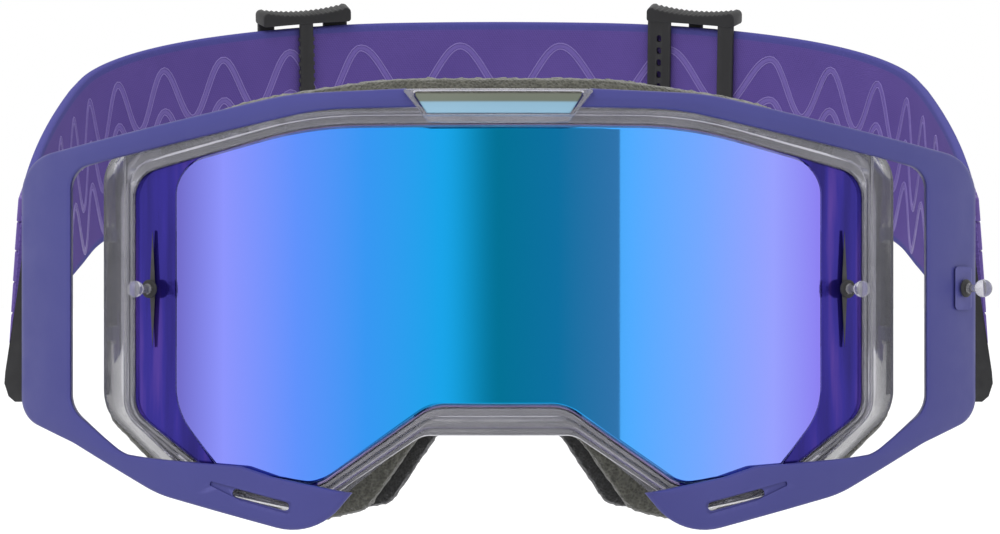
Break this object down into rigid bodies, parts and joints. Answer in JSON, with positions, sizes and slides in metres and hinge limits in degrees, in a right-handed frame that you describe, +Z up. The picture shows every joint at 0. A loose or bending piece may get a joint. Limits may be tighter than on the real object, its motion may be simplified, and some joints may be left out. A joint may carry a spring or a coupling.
{
  "type": "motorcycle goggles",
  "caption": "Off-road motorcycle goggles with a mirrored wrap lens, clear inner frame, outrigger side arms, layered face foam and a wide woven strap with sliders.",
  "frame": {"origin": "centre of the face seat: half way between the temples, level with the tear-off posts, between the lens and the face foam's temple ends", "axes": "+X to the right of a person who faces the goggles, +Y backwards from the lens to the wearer's head, +Z up"},
  "size_m": [0.2152, 0.2195, 0.1198],
  "materials": {
    "clear_plastic": "clear smoke, gloss",
    "frame_plastic": "satin moulded",
    "mirror_lens": "blue and violet mirror coating",
    "black_plastic": "fine matt grain",
    "rubber_seal": "matt",
    "foam_grey": "open cell foam",
    "foam_dark": "open cell foam",
    "fleece": "brushed fleece",
    "badge_panel": "gloss, plain",
    "webbing": "woven elastic",
    "rubber_blocks": "raised print",
    "steel": "drawn"
  },
  "bodies": {
    "goggles": {"badge_surround": "clear_plastic", "badge_window": "badge_panel", "foam_base": "foam_grey", "foam_middle": "foam_dark", "foam_fleece": "fleece", "hinge_pin_left": "steel", "hinge_pin_right": "steel", "inner_frame": "clear_plastic", "lens": "mirror_lens", "lens_post_left": "clear_plastic", "lens_post_right": "clear_plastic", "lens_seal": "rubber_seal", "outer_frame_left": "frame_plastic", "outer_frame_right": "frame_plastic", "outrigger_pad": "frame_plastic", "outrigger_post": "clear_plastic", "post_rib_left": "black_plastic", "post_rib_right": "black_plastic", "strap_band": "webbing", "vent_foam_bottom_left": "foam_dark", "vent_foam_bottom_right": "foam_dark", "vent_foam_top_left": "foam_dark", "vent_foam_top_right": "foam_dark"},
    "strap_clip_left": {"clip_left": "black_plastic", "strap_end_left": "webbing", "strap_patch_left": "rubber_blocks"},
    "strap_clip_right": {"clip_right": "black_plastic", "strap_end_right": "webbing", "strap_patch_right": "rubber_blocks"},
    "strap_slider_left": {"slider_left": "black_plastic"},
    "strap_slider_right": {"slider_right": "black_plastic"}
  },
  "joints": [
    {"name": "clip_left_hinge", "type": "hinge", "parent": "goggles", "child": "strap_clip_left", "pos_m": [-0.0986, 0.005, -0.003], "axis": [0, 0, 1], "range_deg": [-12, 22]},
    {"name": "clip_right_hinge", "type": "hinge", "parent": "goggles", "child": "strap_clip_right", "pos_m": [0.0986, 0.005, -0.003], "axis": [0, 0, -1], "range_deg": [-12, 22]},
    {"name": "slider_left_travel", "type": "hinge", "parent": "goggles", "child": "strap_slider_left", "pos_m": [-0.01715, 0.06381, 0.0151], "axis": [0, -0.2756, 0.9613], "range_deg": [-6.5, 6.5]},
    {"name": "slider_right_travel", "type": "hinge", "parent": "goggles", "child": "strap_slider_right", "pos_m": [0.01715, 0.06381, 0.0151], "axis": [0, -0.2756, 0.9613], "range_deg": [-6.5, 6.5]}
  ]
}
